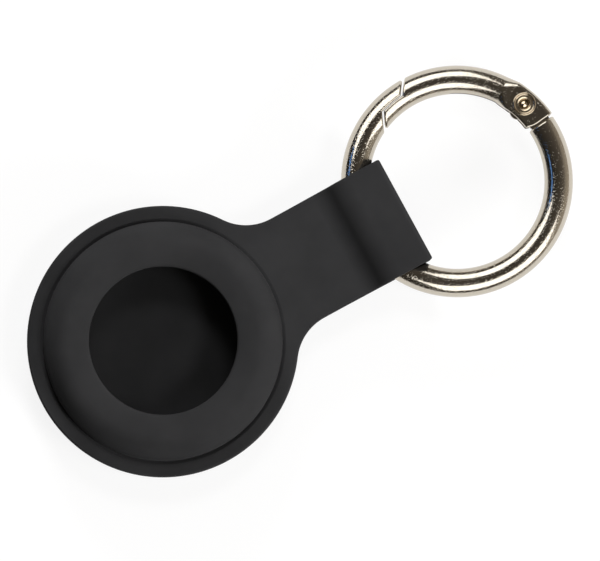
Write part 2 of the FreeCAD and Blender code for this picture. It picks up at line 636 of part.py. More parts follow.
# The rivet has a low domed rear head; its hollow front end is rolled over the ear.
hinge_rivet = new_body("hinge_rivet")
EAR_TOP = "(Sizes.hinge_flat / 2)"
HEAD_RADIUS = "(Sizes.rivet_head_dia / 2)"
SHANK_RADIUS = "(Sizes.rivet_dia / 2)"
BORE_RADIUS = "(Sizes.rivet_bore_dia / 2)"
RIM_TOP = f"({EAR_TOP} + Sizes.rivet_rim)"
DOME_SPHERE = f"(({HEAD_RADIUS}^2 + Sizes.rivet_dome^2) / (2 * Sizes.rivet_dome))"
ROLL = "(Sizes.rivet_rim / 2)"
MOUND_RADIUS = f"({BORE_RADIUS} - {ROLL})"
MOUND_SPHERE = f"(({MOUND_RADIUS}^2 + Sizes.rivet_rim^2) / (2 * Sizes.rivet_rim))"
LIP = f"({EAR_TOP} + {ROLL})"
sketch = new_sketch(hinge_rivet, "RivetSection", "XZ_Plane")
draw_outline(sketch, (
    ("0", f"-{EAR_TOP} - Sizes.rivet_dome", DOME_SPHERE, 1),
    (HEAD_RADIUS, f"-{EAR_TOP}"),
    (SHANK_RADIUS, f"-{EAR_TOP}"),
    (SHANK_RADIUS, EAR_TOP),
    (f"{HEAD_RADIUS} - {ROLL}", EAR_TOP, ROLL, 1),
    (HEAD_RADIUS, LIP, ROLL, 1),
    (f"{HEAD_RADIUS} - {ROLL}", RIM_TOP),
    (f"{HEAD_RADIUS} - 2 * {ROLL}", RIM_TOP, "Sizes.rivet_head_dia", -1),
    (f"{BORE_RADIUS} + 2 * {ROLL}", LIP),
    (f"{BORE_RADIUS} + {ROLL}", LIP, ROLL, 1),
    (BORE_RADIUS, EAR_TOP),
    (BORE_RADIUS, f"{EAR_TOP} - Sizes.rivet_rim"),
    (MOUND_RADIUS, f"{EAR_TOP} - Sizes.rivet_rim", MOUND_SPHERE, 1),
    ("0", EAR_TOP),
))
revolve(hinge_rivet, sketch)

for body in (ring_body, gate):
    place(body, RING_X, "0", MID)
RIVET_X = f"{RING_X} + {RING_RADIUS} * cos(Sizes.hinge_angle)"
RIVET_Y = f"{RING_RADIUS} * sin(Sizes.hinge_angle)"
place(hinge_rivet, RIVET_X, RIVET_Y, MID)


def arc_along(start, heading, stop):
    """An arc that leaves a point along a heading and ends at another point."""
    chord = stop - start
    aside = heading - chord * (heading.dot(chord) / chord.dot(chord))
    half_angle = heading.getAngle(chord) / 2
    middle = (start + stop) / 2 + aside.normalize() * (chord.Length / 2 * math.tan(half_angle))
    return Part.Arc(start, middle, stop).toShape()


def biarc(start, heading, stop, last_heading):
    """Two arcs that meet smoothly and keep both end headings."""
    chord = stop - start
    bend = 2 * (1 - heading.dot(last_heading))
    pull = chord.dot(heading + last_heading)
    reach = (math.sqrt(pull**2 + bend * chord.dot(chord)) - pull) / bend
    joint = (start + stop + (heading - last_heading) * reach) / 2
    joint_heading = joint - start - heading * reach
    return arc_along(start, heading, joint), arc_along(joint, joint_heading.normalize(), stop)


def spring_path():
    """The spring's centre line about the rivet, with X pointing away from the ring's centre:
    the fixed leg, a coil that climbs gently at both ends, and the leg that closes the gate."""
    ring = number(RING_RADIUS)
    coil = number(COIL_RADIUS)
    wire = number("Sizes.spring_wire")
    low = number(FIXED_LEG_HEIGHT)
    rise = number("Sizes.coil_pitch * Sizes.coil_turns")
    # The gate leg's tip lies a clearance inside the channel's floor.
    reach = math.hypot(number("Sizes.gate_leg"), coil)
    floor = number(CHANNEL_FLOOR) - wire / 2 - number("Sizes.leg_clearance")
    tip_x = (floor**2 - ring**2 - reach**2) / (2 * ring)
    tip_y = math.sqrt(reach**2 - tip_x**2)
    start = math.radians(number("Sizes.fixed_leg_angle"))
    leave = math.atan2(tip_y, tip_x) - math.acos(coil / reach)
    turn = 2 * math.pi * number("Sizes.coil_turns") + leave - start

    def on_coil(share):
        """A point of the coil and the heading of the wire there."""
        angle = start + share * turn
        height = low + share * share * (3 - 2 * share) * rise
        slope = 6 * share * (1 - share) * rise
        spot = Vector(coil * math.cos(angle), coil * math.sin(angle), height)
        heading = Vector(-coil * turn * math.sin(angle), coil * turn * math.cos(angle), slope)
        return spot, heading.normalize()

    foot, first_heading = on_coil(0)
    head, _ = on_coil(1)
    edges = [Part.LineSegment(foot - first_heading * number("Sizes.fixed_leg"), foot).toShape()]
    spans = math.ceil(turn / (math.pi / 2))
    for index in range(spans):
        edges.extend(biarc(*on_coil(index / spans), *on_coil((index + 1) / spans)))
    edges.append(Part.LineSegment(head, Vector(tip_x, tip_y, low + rise)).toShape())
    return Part.Wire(edges), edges[0]


# The torsion spring is one bent steel wire, wound round the rivet.
path, first_leg = spring_path()
leg_tip = first_leg.firstVertex().Point
section = Part.Circle(leg_tip, first_leg.tangentAt(0), number("Sizes.spring_wire / 2"))
gate_spring = doc.addObject("Part::Feature", "gate_spring")
gate_spring.Label = "gate_spring"
gate_spring.Shape = path.makePipeShell([Part.Wire(section.toShape())], True, False)
gate_spring.Placement = Placement(
    Vector(number(RIVET_X), number(RIVET_Y), number(MID)),
    Rotation(Vector(0, 0, 1), number("Sizes.hinge_angle")),
)

doc.recompute()
subparts = (holder, ring_body, gate, hinge_rivet, gate_spring)
for item in doc.Objects:
    if "Invalid" in item.State or "Error" in item.State:
        raise RuntimeError(f"{item.Name} did not build: {item.State}")
for item in subparts:
    if item.Shape.isNull() or not item.Shape.isValid() or len(item.Shape.Solids) != 1:
        raise RuntimeError(f"{item.Label} is not one valid solid")

os.makedirs("parts", exist_ok=True)
for item in subparts:
    item.Shape.exportStep(os.path.join("parts", f"{item.Label}.step"))
    print(f"{item.Label}: {item.Shape.Volume:.2f} mm3")
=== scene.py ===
import math

import bmesh
import bpy
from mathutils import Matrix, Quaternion, Vector


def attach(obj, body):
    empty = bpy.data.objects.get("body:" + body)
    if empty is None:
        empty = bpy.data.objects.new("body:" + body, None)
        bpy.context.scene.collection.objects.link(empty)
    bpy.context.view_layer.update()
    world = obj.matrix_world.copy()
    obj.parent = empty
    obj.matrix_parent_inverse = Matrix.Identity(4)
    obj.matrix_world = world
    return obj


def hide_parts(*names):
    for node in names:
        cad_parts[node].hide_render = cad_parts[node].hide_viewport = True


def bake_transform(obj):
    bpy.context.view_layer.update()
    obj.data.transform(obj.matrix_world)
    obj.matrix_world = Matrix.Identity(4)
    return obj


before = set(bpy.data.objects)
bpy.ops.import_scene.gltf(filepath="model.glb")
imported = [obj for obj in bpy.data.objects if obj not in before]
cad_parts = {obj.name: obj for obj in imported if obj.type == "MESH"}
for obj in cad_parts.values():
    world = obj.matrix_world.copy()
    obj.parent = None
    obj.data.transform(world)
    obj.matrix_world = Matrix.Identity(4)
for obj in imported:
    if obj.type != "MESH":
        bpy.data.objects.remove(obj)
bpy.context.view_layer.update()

# Holder: one charcoal silicone moulding, pressed in a mould whose halves meet at mid height.
# A round pocket with a window takes the tag; a flat rim runs round it and out into a strap,
# and the strap's end is thickened into a sleeve that the ring slides through.
MM = 0.001               # sizes are in millimetres here, and in metres in a mesh
MERGE = 1e-7             # m, points nearer than this are one
MID_HEIGHT = 5.4         # of the parting line, above the table
SHEET_TOP = 6.8          # the front face of rim and strap
POCKET_WALL = 1.3
POCKET_RADIUS = 16.0
DOME_TOP = 10.8
FLAT_RADIUS = 13.5       # where the dome's top turns down into its shoulder
SHOULDER = 3.55
GROOVE_DEPTH = 0.2       # of the groove round the dome's foot
GROOVE_EDGE = 17.6
GROOVE_LIP = (0.1, 0.015)                                  # in from its edge, and down
GROOVE_BED = ((0.13, 0.03), (0.05, 0.0), (0.005, 0.03))    # out from the foot, and up
WINDOW_RADIUS = 10.55
WINDOW_ROUND = 0.35
WINDOW_LEAN = 13.0       # degrees, the slope of the dome's top at the window
LATHE_STEPS = 160
RIM_RADIUS = 19.4
STRAP_HALF = 8.05
ROOT_FILLET = 7.4        # between rim and strap, seen from the front
EDGE_ROUND = 0.3
MOULD_DRAFT = 0.05
HUMP = 4.6               # the sleeve's rise, seen from the side; heights from mid height
HUMP_CENTRE = (34.447, -0.75)
VALLEY = 4.0             # the hollow between strap and sleeve
SLEEVE_END = 39.4
CREST = 3.85
END_ROUND = 0.7
TUNNEL_HALF = 2.27       # an oblong hole between two rounds
TUNNEL_ROUNDS = (33.347, 36.18)
MOUTH_ROUND = 0.25


def arc(centre, radius, start, stop, steps, hollow=False):
    """Points on an arc, each with its outward direction; the angles are in degrees."""
    points = []
    for step in range(steps + 1):
        angle = math.radians(start + (stop - start) * step / steps)
        out = Vector((math.cos(angle), math.sin(angle)))
        points.append((Vector(centre) + out * radius, -out if hollow else out))
    return points


def places(points):
    """The points of an arc without their directions."""
    return [place for place, _ in points]


def add_node(tree, kind, values=None, links=None, **settings):
    """Add a node, with its settings, its input values and the sockets that feed its inputs."""
    node = tree.nodes.new(kind)
    for name, value in settings.items():
        setattr(node, name, value)
    for name, value in (values or {}).items():
        node.inputs[name].default_value = value
    for name, source in (links or {}).items():
        tree.links.new(source, node.inputs[name])
    return node


def lathe_tree():
    """Geometry Nodes that turn a row of profile points round Z, like a part on a lathe."""
    tree = bpy.data.node_groups.new("lathe", "GeometryNodeTree")
    face = tree.interface
    face.new_socket("Profile", in_out="INPUT", socket_type="NodeSocketGeometry")
    face.new_socket("Profile Points", in_out="INPUT", socket_type="NodeSocketInt")
    face.new_socket("Steps", in_out="INPUT", socket_type="NodeSocketInt")
    face.new_socket("Material", in_out="INPUT", socket_type="NodeSocketMaterial")
    face.new_socket("Solid", in_out="OUTPUT", socket_type="NodeSocketGeometry")
    given = tree.nodes.new("NodeGroupInput").outputs
    columns = add_node(tree, "ShaderNodeMath", {1: 1.0}, {0: given["Steps"]}, operation="ADD")
    grid = add_node(tree, "GeometryNodeMeshGrid", None, {
        "Vertices X": columns.outputs[0], "Vertices Y": given["Profile Points"]})
    index = tree.nodes.new("GeometryNodeInputIndex").outputs[0]
    row = add_node(tree, "ShaderNodeMath", None, {0: index, 1: given["Profile Points"]},
                   operation="FLOORED_MODULO")
    share = add_node(tree, "ShaderNodeMath", None, {0: index, 1: given["Profile Points"]},
                     operation="DIVIDE")
    column = add_node(tree, "ShaderNodeMath", None, {0: share.outputs[0]}, operation="FLOOR")
    turn = add_node(tree, "ShaderNodeMath", None, {0: column.outputs[0], 1: given["Steps"]},
                    operation="DIVIDE")
    angle = add_node(tree, "ShaderNodeMath", {1: 2 * math.pi}, {0: turn.outputs[0]},
                     operation="MULTIPLY")
    place = tree.nodes.new("GeometryNodeInputPosition").outputs[0]
    profile = add_node(tree, "GeometryNodeSampleIndex", None, {
        "Geometry": given["Profile"], "Value": place, "Index": row.outputs[0]},
        data_type="FLOAT_VECTOR")
    turned = add_node(tree, "ShaderNodeVectorRotate", None, {
        "Vector": profile.outputs[0], "Angle": angle.outputs[0]}, rotation_type="Z_AXIS")
    moved = add_node(tree, "GeometryNodeSetPosition", None, {
        "Geometry": grid.outputs[0], "Position": turned.outputs[0]})
    closed = add_node(tree, "GeometryNodeMergeByDistance", {"Distance": MERGE},
                      {"Geometry": moved.outputs[0]})
    real = add_node(tree, "GeometryNodeRealizeInstances", None, {"Geometry": closed.outputs[0]})
    dressed = add_node(tree, "GeometryNodeSetMaterial", None, {
        "Geometry": real.outputs[0], "Material": given["Material"]})
    add_node(tree, "NodeGroupOutput", None, {"Solid": dressed.outputs[0]})
    return tree


LATHE = lathe_tree()


def turned_mesh(name, profile, steps, material):
    """A plain mesh of a profile, given as (radius, height) in millimetres, turned round Z."""
    mesh = bpy.data.meshes.new(name)
    mesh.from_pydata([(radius * MM, 0, height * MM) for radius, height in profile], [], [])
    blank = bpy.data.objects.new(name, mesh)
    bpy.context.scene.collection.objects.link(blank)
    lathe = blank.modifiers.new("lathe", "NODES")
    lathe.node_group = LATHE
    sockets = {item.name: item.identifier for item in LATHE.interface.items_tree}
    lathe[sockets["Profile Points"]] = len(profile)
    lathe[sockets["Steps"]] = steps
    lathe[sockets["Material"]] = material
    ready = blank.evaluated_get(bpy.context.evaluated_depsgraph_get())
    turned = bpy.data.meshes.new_from_object(ready)
    bpy.data.objects.remove(blank)
    return turned


def colour(code):
    """An sRGB hex colour as linear RGBA."""
    shares = [int(code[at:at + 2], 16) / 255 for at in (1, 3, 5)]
    return [s / 12.92 if s <= 0.04045 else ((s + 0.055) / 1.055) ** 2.4 for s in shares] + [1.0]


def new_material(name):
    """An empty node material and its tree, with a Principled shader on its output."""
    material = bpy.data.materials.new(name)
    material.use_nodes = True
    tree = material.node_tree
    tree.nodes.clear()
    shader = tree.nodes.new("ShaderNodeBsdfPrincipled")
    add_node(tree, "ShaderNodeOutputMaterial", None, {"Surface": shader.outputs[0]})
    return material, tree, shader


# Moulded silicone rubber, charcoal, off a blasted mould: a soft matt skin with a very fine
# grain, cloudy where it has been handled.
SILICONE_DARK = colour("#2f2f30")
SILICONE_LIGHT = colour("#353536")
SILICONE_GRAIN = 0.25    # mm, the real grain is about 0.05 mm and would not show
GRAIN_DEPTH = 0.05       # mm
SILICONE_CLOUD = 9.0     # mm
SILICONE_IOR = 1.41
SILICONE_SHEEN = 0.02    # the blasted skin scatters nearly all of its sheen
silicone, tree, shader = new_material("moulded_silicone")
shader.inputs["IOR"].default_value = SILICONE_IOR
shader.inputs["Specular IOR Level"].default_value = SILICONE_SHEEN
where = tree.nodes.new("ShaderNodeTexCoord").outputs["Object"]
clouds = add_node(tree, "ShaderNodeTexNoise", {
    "Scale": 1 / (SILICONE_CLOUD * MM), "Detail": 3.0, "Roughness": 0.6}, {"Vector": where})
tone = add_node(tree, "ShaderNodeValToRGB", None, {"Fac": clouds.outputs[0]})
tone.color_ramp.elements[0].position = 0.3
tone.color_ramp.elements[0].color = SILICONE_DARK
tone.color_ramp.elements[1].position = 0.7
tone.color_ramp.elements[1].color = SILICONE_LIGHT
tree.links.new(tone.outputs[0], shader.inputs["Base Color"])
gloss = add_node(tree, "ShaderNodeMapRange", {"To Min": 0.5, "To Max": 0.6},
                 {"Value": clouds.outputs[0]})
tree.links.new(gloss.outputs[0], shader.inputs["Roughness"])
grain = add_node(tree, "ShaderNodeTexNoise", {
    "Scale": 1 / (SILICONE_GRAIN * MM), "Detail": 2.0}, {"Vector": where})
bump = add_node(tree, "ShaderNodeBump", {"Strength": 0.06, "Distance": GRAIN_DEPTH * MM},
                {"Height": grain.outputs[0]})
tree.links.new(bump.outputs[0], shader.inputs["Normal"])

# The pocket and its two domes are turned: first the front, from the rim in through the window
# to the pocket's floor, then the closed back.
foot = FLAT_RADIUS + SHOULDER
groove_floor = SHEET_TOP - GROOVE_DEPTH
window_centre = WINDOW_RADIUS + WINDOW_ROUND
lean = math.radians(WINDOW_LEAN)
arch = (FLAT_RADIUS - window_centre) / math.sin(lean) + WINDOW_ROUND
window_height = DOME_TOP - arch + (arch - WINDOW_ROUND) * math.cos(lean)
window_angle = 90 + WINDOW_LEAN
ceiling = DOME_TOP - POCKET_WALL
inner_shoulder = POCKET_RADIUS - FLAT_RADIUS
outside = (
    [Vector((GROOVE_EDGE, SHEET_TOP)),
     Vector((GROOVE_EDGE - GROOVE_LIP[0], SHEET_TOP - GROOVE_LIP[1]))]
    + [Vector((foot + out, groove_floor + up)) for out, up in GROOVE_BED]
    + places(arc((FLAT_RADIUS, DOME_TOP - SHOULDER), SHOULDER, 0, 90, steps=26))
)
front = (
    outside
    + places(arc((FLAT_RADIUS, DOME_TOP - arch), arch, 90, window_angle, steps=8))[1:]
    + places(arc((window_centre, window_height), WINDOW_ROUND, window_angle, 180, steps=6))[1:]
    + places(arc((window_centre, ceiling + WINDOW_ROUND), WINDOW_ROUND, 180, 270, steps=6))
    + places(arc((FLAT_RADIUS, ceiling - inner_shoulder), inner_shoulder, 90, 0, steps=14))
    + places(arc((FLAT_RADIUS, POCKET_WALL + inner_shoulder), inner_shoulder, 0, -90, steps=14))
    + [Vector((0, POCKET_WALL))]
)
back = [Vector((place.x, DOME_TOP - place.y)) for place in outside] + [Vector((0, 0))]

solid = bmesh.new()
for profile in (front, back):
    turned = turned_mesh("dome", profile, LATHE_STEPS, silicone)
    solid.from_mesh(turned)
    bpy.data.meshes.remove(turned)

known = {}
KEYS_PER_MM = 1e4


def key(x, y, z):
    """A place in millimetres, as whole steps of a tenth of a micron."""
    return round(x * KEYS_PER_MM), round(y * KEYS_PER_MM), round(z * KEYS_PER_MM)


for vert in solid.verts:
    known[key(*(vert.co / MM))] = vert


def vertex_at(x, y, z):
    """The one vertex at this place, in millimetres."""
    spot = key(x, y, z)
    if spot not in known:
        known[spot] = solid.verts.new((x * MM, y * MM, z * MM))
    return known[spot]


def skin(rows, closed=False):
    """Quads between rows of vertices."""
    for before, after in zip(rows, rows[1:]):
        count = len(before)
        for at in range(count if closed else count - 1):
            after_at = (at + 1) % count
            face = []
            for vert in (before[at], before[after_at], after[after_at], after[at]):
                if vert not in face:
                    face.append(vert)
            if len(face) > 2:
                solid.faces.new(face)


def fill(*loops):
    """Close a flat region; the first loop is its outline and the others are holes in it."""
    edges = []
    for loop in loops:
        for first, second in zip(loop, loop[1:] + loop[:1]):
            edges.append(solid.edges.get((first, second)) or solid.edges.new((first, second)))
    bmesh.ops.triangle_fill(solid, use_beauty=True, use_dissolve=False, edges=edges)


# The rim's outline in plan, from the strap's left side round the pocket to its right side.
root_x = math.sqrt((RIM_RADIUS + ROOT_FILLET) ** 2 - (STRAP_HALF + ROOT_FILLET) ** 2)
root_angle = math.degrees(math.atan2(STRAP_HALF + ROOT_FILLET, root_x))
half_sheet = SHEET_TOP - MID_HEIGHT
valley_height = half_sheet + VALLEY
valley_reach = math.sqrt((HUMP + VALLEY) ** 2 - (valley_height - HUMP_CENTRE[1]) ** 2)
valley_x = HUMP_CENTRE[0] - valley_reach
SIDE_STEPS = 8
left_side = []
for step in range(SIDE_STEPS + 1):
    x = valley_x + (root_x - valley_x) * step / SIDE_STEPS
    left_side.append((Vector((x, STRAP_HALF)), Vector((0, 1))))
left_root = arc((root_x, STRAP_HALF + ROOT_FILLET), ROOT_FILLET, 270, 180 + root_angle,
                steps=16, hollow=True)
rim = arc((0, 0), RIM_RADIUS, root_angle, 360 - root_angle, steps=140)
right_root = [(Vector((p.x, -p.y)), Vector((n.x, -n.y))) for p, n in reversed(left_root)]
right_side = [(Vector((p.x, -p.y)), Vector((n.x, -n.y))) for p, n in reversed(left_side)]
outline = left_side + left_root[1:] + rim[1:] + right_root[1:] + right_side[1:]

# Down the edge: the top round, the parting line at mid height, and the lower round. The walls
# draw in a little away from the parting line, which fades out along the strap.
ROUND_STEPS = 5
edge_round = []
for step in range(ROUND_STEPS + 1):
    angle = math.radians(90 * step / ROUND_STEPS)
    edge_round.append((EDGE_ROUND * (1 - math.sin(angle)), EDGE_ROUND * (1 - math.cos(angle))))
rim_rows = []
for place, out in outline:
    draft = MOULD_DRAFT * min(1, max(0, (valley_x - place.x) / (valley_x - root_x)))
    column = []
    for inset, drop in edge_round:
        spot = place - out * (inset + draft)
        column.append((spot, half_sheet - drop))
    lower = [(spot, -lift) for spot, lift in reversed(column)]
    column += [(place, 0)] + lower
    rim_rows.append([vertex_at(spot.x, spot.y, MID_HEIGHT + lift) for spot, lift in column])
skin(rim_rows)

# The sleeve's side profile, from the valley over the crest and round the end to the back.
hump_angle = math.degrees(math.atan2(valley_height - HUMP_CENTRE[1], -valley_reach))
upper = (
    arc((valley_x, valley_height), VALLEY, 270, 180 + hump_angle, steps=10, hollow=True)
    + arc(HUMP_CENTRE, HUMP, hump_angle, 90, steps=14)[1:]
    + arc((SLEEVE_END - END_ROUND, CREST - END_ROUND), END_ROUND, 90, 0, steps=12)
)
sleeve = upper + [(Vector((p.x, -p.y)), Vector((n.x, -n.y))) for p, n in reversed(upper)]
SLEEVE_COLUMNS = 12
inner_half = STRAP_HALF - EDGE_ROUND
sleeve_rows = []
for place, out in sleeve:
    across = []
    for inset, drop in reversed(edge_round):
        across.append((place - out * drop, inset - STRAP_HALF))
    for step in range(1, SLEEVE_COLUMNS):
        across.append((place, inner_half * (2 * step / SLEEVE_COLUMNS - 1)))
    for inset, drop in edge_round:
        across.append((place - out * drop, STRAP_HALF - inset))
    sleeve_rows.append([vertex_at(spot.x, y, MID_HEIGHT + spot.y) for spot, y in across])
skin(sleeve_rows)

# The tunnel for the ring's wire, with softened mouths.
mouth = (
    arc((TUNNEL_ROUNDS[1], 0), TUNNEL_HALF, -90, 90, steps=20)
    + arc((TUNNEL_ROUNDS[0], 0), TUNNEL_HALF, 90, 270, steps=20)
)
MOUTH_STEPS = 4
tunnel_rows = []
for side in (-1, 1):
    rows = []
    for step in range(MOUTH_STEPS + 1):
        angle = math.radians(90 * step / MOUTH_STEPS)
        grow = MOUTH_ROUND * (1 - math.sin(angle))
        y = side * (STRAP_HALF - MOUTH_ROUND * (1 - math.cos(angle)))
        rows.append([vertex_at(p.x + n.x * grow, y, MID_HEIGHT + p.y + n.y * grow)
                     for p, n in mouth])
    tunnel_rows += rows if side < 0 else rows[::-1]
skin(tunnel_rows, closed=True)

# The flat faces: the sheet's front and back round the domes, and the sleeve's two sides.
for height, at in ((SHEET_TOP, 0), (DOME_TOP - SHEET_TOP, -1)):
    circle = [vertex_at(GROOVE_EDGE * math.cos(2 * math.pi * step / LATHE_STEPS),
                        GROOVE_EDGE * math.sin(2 * math.pi * step / LATHE_STEPS), height)
              for step in range(LATHE_STEPS)]
    sheet_edge = [row[at] for row in rim_rows]
    valley_line = sleeve_rows[at][ROUND_STEPS:-ROUND_STEPS]
    fill(sheet_edge + valley_line[1:-1], circle)
for side, rim_row, hole in ((0, rim_rows[-1], tunnel_rows[0]), (-1, rim_rows[0], tunnel_rows[-1])):
    parting = rim_row[len(rim_row) // 2]
    fill([row[side] for row in sleeve_rows] + [parting], hole)

# The seams between the turned domes and the sheet are closed, and flat faces stay flat up to
# their rounds.
bmesh.ops.remove_doubles(solid, verts=solid.verts, dist=MERGE)
bmesh.ops.recalc_face_normals(solid, faces=solid.faces)
holder_mesh = bpy.data.meshes.new("holder_silicone")
solid.to_mesh(holder_mesh)
solid.free()
holder_mesh.materials.clear()
holder_mesh.materials.append(silicone)
holder = bpy.data.objects.new("holder_silicone", holder_mesh)
bpy.context.scene.collection.objects.link(holder)
for polygon in holder_mesh.polygons:
    polygon.use_smooth = True
    polygon.material_index = 0
weighted = holder.modifiers.new("flat_faces_rule", "WEIGHTED_NORMAL")
weighted.weight = 100
ready = holder.evaluated_get(bpy.context.evaluated_depsgraph_get())
holder.data = bpy.data.meshes.new_from_object(ready)
holder.modifiers.clear()
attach(holder, "holder")
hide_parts("holder")

# Ring body and gate: zinc die castings, polished and nickel-plated. The body slides in the
# sleeve; the gate laps its nose and swings on a rivet.

# Bright nickel plate over tumbled zinc, slightly warm: a mirror with fine pits and ripples
# that break up the edges of what it reflects.
NICKEL = colour("#c6beb0")
PIT = 0.2               # mm, drawn coarser than the real pits so that they show
PIT_DEPTH = 0.013       # mm
RIPPLE = 1.6            # mm
RIPPLE_DEPTH = 0.1      # mm, drawn at a quarter of its strength
nickel, tree, shader = new_material("nickel_plated_zinc")
shader.inputs["Metallic"].default_value = 1.0
shader.inputs["Base Color"].default_value = NICKEL
where = tree.nodes.new("ShaderNodeTexCoord").outputs["Object"]
pits = add_node(tree, "ShaderNodeTexNoise", {
    "Scale": 1 / (PIT * MM), "Detail": 1.0, "Roughness": 0.6}, {"Vector": where})
sparse = add_node(tree, "ShaderNodeMapRange", {
    "From Min": 0.2, "From Max": 0.5}, {"Value": pits.outputs[0]}, interpolation_type="SMOOTHSTEP")
ripples = add_node(tree, "ShaderNodeTexNoise", {
    "Scale": 1 / (RIPPLE * MM), "Detail": 2.0}, {"Vector": where})
gloss = add_node(tree, "ShaderNodeMapRange", {"To Min": 0.12, "To Max": 0.07},
                 {"Value": sparse.outputs[0]})
tree.links.new(gloss.outputs[0], shader.inputs["Roughness"])
pitted = add_node(tree, "ShaderNodeBump", {"Strength": 1.0, "Distance": PIT_DEPTH * MM},
                  {"Height": sparse.outputs[0]})
rippled = add_node(tree, "ShaderNodeBump", {"Strength": 0.25, "Distance": RIPPLE_DEPTH * MM},
                   {"Height": ripples.outputs[0], "Normal": pitted.outputs[0]})
tree.links.new(rippled.outputs[0], shader.inputs["Normal"])


def dress(node, material):
    """Give a CAD node one material."""
    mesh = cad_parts[node].data
    mesh.materials.clear()
    mesh.materials.append(material)


dress("ring_body", nickel)
dress("gate", nickel)

# Rivet: a semi-tubular steel rivet, nickel-plated. Its hollow end is rolled out over the
# gate's ear into a dished rim, with the punch's mound left in the middle.
RIVET_AXIS = Vector((61.5341, 5.0717, MID_HEIGHT))
EAR = 1.9                # from mid height to the ears' outer faces
SHANK = 0.7
HEAD_ROUND = 3.603       # the factory head's dome
HEAD_CENTRE = 1.303
HEAD_HALF_ANGLE = 27.254
RIM_OUT = 1.65           # the rolled rim, an oval seen in section
RIM_HALF = (0.16, 0.1)
LIP = (0.84, 1.98)       # the ridge round the bore; each pair is radius and height
LIP_ROUND = 0.06
DISH = ((1.36, 2.0), (1.28, 1.97), (1.0, 1.95))
BORE = ((0.69, 1.93), (0.66, 1.85), (0.64, 1.0), (0.46, 1.0))
MOUND = ((0.46, 1.69), (0.44, 1.73), (0.41, 1.75), (0.08, 1.885), (0.03, 1.9), (0, 1.9))
RIVET_STEPS = 64

# The roll starts under the rim, goes out and over it, and ends a little way down its inside.
ROLL_STEP = 15           # degrees
rim_roll = []
for turn in range(-90, 121, ROLL_STEP):
    angle = math.radians(turn)
    rim_roll.append(Vector((RIM_OUT + RIM_HALF[0] * (math.cos(angle) - 1),
                            EAR + RIM_HALF[1] * (math.sin(angle) + 1))))
rivet_profile = (
    places(arc((0, HEAD_CENTRE), HEAD_ROUND, -90, -90 + HEAD_HALF_ANGLE, steps=10))
    + [Vector((SHANK, -EAR)), Vector((SHANK, EAR))]
    + rim_roll
    + [Vector(spot) for spot in DISH]
    + places(arc(LIP, LIP_ROUND, 70, 190, steps=8))
    + [Vector(spot) for spot in BORE + MOUND]
)

# Nickel plate on steel, warmer than the ring's: the punch leaves it bright on the rolled rim and
# duller in the dish and the bore.
RIVET_NICKEL = colour("#d6c5aa")
DULL_BELOW = MID_HEIGHT + 2.02
BRIGHT_ABOVE = MID_HEIGHT + 2.1
rivet_steel, tree, shader = new_material("nickel_plated_steel")
shader.inputs["Metallic"].default_value = 1.0
shader.inputs["Base Color"].default_value = RIVET_NICKEL
where = tree.nodes.new("ShaderNodeTexCoord").outputs["Object"]
height = add_node(tree, "ShaderNodeSeparateXYZ", None, {0: where})
gloss = add_node(tree, "ShaderNodeMapRange", {
    "From Min": DULL_BELOW * MM, "From Max": BRIGHT_ABOVE * MM, "To Min": 0.22, "To Max": 0.16},
    {"Value": height.outputs["Z"]})
tree.links.new(gloss.outputs[0], shader.inputs["Roughness"])
rivet_mesh = turned_mesh("hinge_rivet_clinched", rivet_profile, RIVET_STEPS, rivet_steel)
for vert in rivet_mesh.vertices:
    vert.co += RIVET_AXIS * MM
for polygon in rivet_mesh.polygons:
    polygon.use_smooth = True
rivet = bpy.data.objects.new("hinge_rivet_clinched", rivet_mesh)
bpy.context.scene.collection.objects.link(rivet)
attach(rivet, "gate")
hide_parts("hinge_rivet")

# Bare drawn steel, grey, its gloss uneven from the die.
SPRING_GREY = colour("#8f8c88")
DRAWN_MARKS = 0.1        # mm
spring_steel, tree, shader = new_material("spring_steel_wire")
shader.inputs["Metallic"].default_value = 1.0
shader.inputs["Base Color"].default_value = SPRING_GREY
where = tree.nodes.new("ShaderNodeTexCoord").outputs["Object"]
drawn = add_node(tree, "ShaderNodeTexNoise", {"Scale": 1 / (DRAWN_MARKS * MM)}, {"Vector": where})
gloss = add_node(tree, "ShaderNodeMapRange", {"To Min": 0.25, "To Max": 0.4},
                 {"Value": drawn.outputs[0]})
tree.links.new(gloss.outputs[0], shader.inputs["Roughness"])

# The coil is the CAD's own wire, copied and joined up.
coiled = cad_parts["gate_spring"]
wire = bmesh.new()
wire.from_mesh(coiled.data)
wire.transform(coiled.matrix_world)
bmesh.ops.remove_doubles(wire, verts=wire.verts, dist=MERGE)
spring_mesh = bpy.data.meshes.new("gate_spring_wound")
wire.to_mesh(spring_mesh)
wire.free()
spring_mesh.materials.clear()
spring_mesh.materials.append(spring_steel)
for polygon in spring_mesh.polygons:
    polygon.use_smooth = True
    polygon.material_index = 0
spring = bpy.data.objects.new("gate_spring_wound", spring_mesh)
bpy.context.scene.collection.objects.link(spring)
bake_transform(spring)
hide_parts("gate_spring")

# Studio: a white table, soft boxes round it, and a long lens almost straight above, which leans
# a little to the picture's lower left.
VIEW_TURN = 28.6         # degrees, from the picture's right up to the strap's axis
IMAGE_CENTRE = Vector((21.377, -1.707, MID_HEIGHT)) * MM
VIEW_WIDTH = 85.714 * MM
LENS_DISTANCE = 1.2      # m
LENS_LEAN = 2.5          # degrees
LEAN_BEARING = 238.0     # degrees anticlockwise from the picture's right


def direction(bearing, tilt):
    """Away from the object: bearing is in degrees anticlockwise from the picture's right, tilt is
    from straight above."""
    turn = math.radians(bearing - VIEW_TURN)
    lean = math.radians(tilt)
    level = math.sin(lean)
    return Vector((level * math.cos(turn), level * math.sin(turn), math.cos(lean)))


